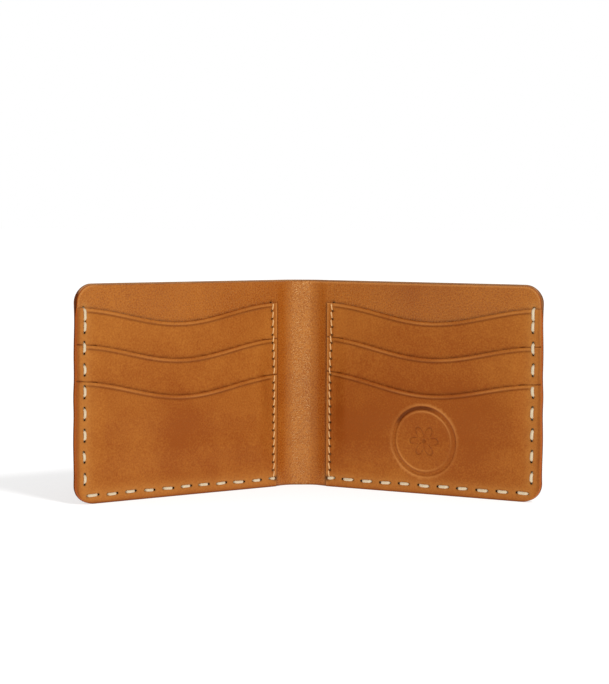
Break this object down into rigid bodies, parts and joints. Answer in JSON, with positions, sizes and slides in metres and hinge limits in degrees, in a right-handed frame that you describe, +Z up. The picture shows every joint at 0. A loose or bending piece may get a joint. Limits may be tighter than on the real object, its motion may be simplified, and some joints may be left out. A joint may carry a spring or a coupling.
{
  "type": "bifold wallet",
  "caption": "Hand-stitched leather bifold wallet standing part open, with stepped card pockets on each wing and a banknote compartment behind the lining.",
  "frame": {"origin": "bottom of the spine's centre line, in the middle of the lining's thickness", "axes": "+X towards the right-hand wing as the open wallet is read, +Y out of its back, +Z up from the edge it stands on"},
  "size_m": [0.1928, 0.062, 0.09],
  "materials": {
    "shell_leather": "satin",
    "lining_leather": "satin",
    "pocket_leather": "satin",
    "waxed_thread": "matte",
    "fine_thread": "matte"
  },
  "bodies": {
    "spine": {"outer_shell_spine": "shell_leather", "lining_spine": "lining_leather"},
    "left_wing": {"outer_shell_left": "shell_leather", "lining_left": "lining_leather", "card_pocket_top_left": "pocket_leather", "card_pocket_middle_left": "pocket_leather", "card_pocket_front_left": "pocket_leather", "edge_thread_left": "waxed_thread", "inner_seam_thread_first_left": "fine_thread", "inner_seam_thread_second_left": "fine_thread", "pocket_base_thread_top_left": "fine_thread", "pocket_base_thread_middle_left": "fine_thread"},
    "right_wing": {"outer_shell_right": "shell_leather", "lining_right": "lining_leather", "card_pocket_top_right": "pocket_leather", "card_pocket_middle_right": "pocket_leather", "card_pocket_front_right": "pocket_leather", "edge_thread_right": "waxed_thread", "inner_seam_thread_first_right": "fine_thread", "inner_seam_thread_second_right": "fine_thread", "pocket_base_thread_top_right": "fine_thread", "pocket_base_thread_middle_right": "fine_thread"}
  },
  "joints": [
    {"name": "left_fold", "type": "hinge", "parent": "spine", "child": "left_wing", "pos_m": [-0.005, -0.00045, 0], "axis": [0, 0, 1], "range_deg": [-33, 58], "stiffness_Nm_per_rad": 0.01},
    {"name": "right_fold", "type": "hinge", "parent": "spine", "child": "right_wing", "pos_m": [0.005, -0.00045, 0], "axis": [0, 0, -1], "range_deg": [-33, 58], "stiffness_Nm_per_rad": 0.01}
  ]
}
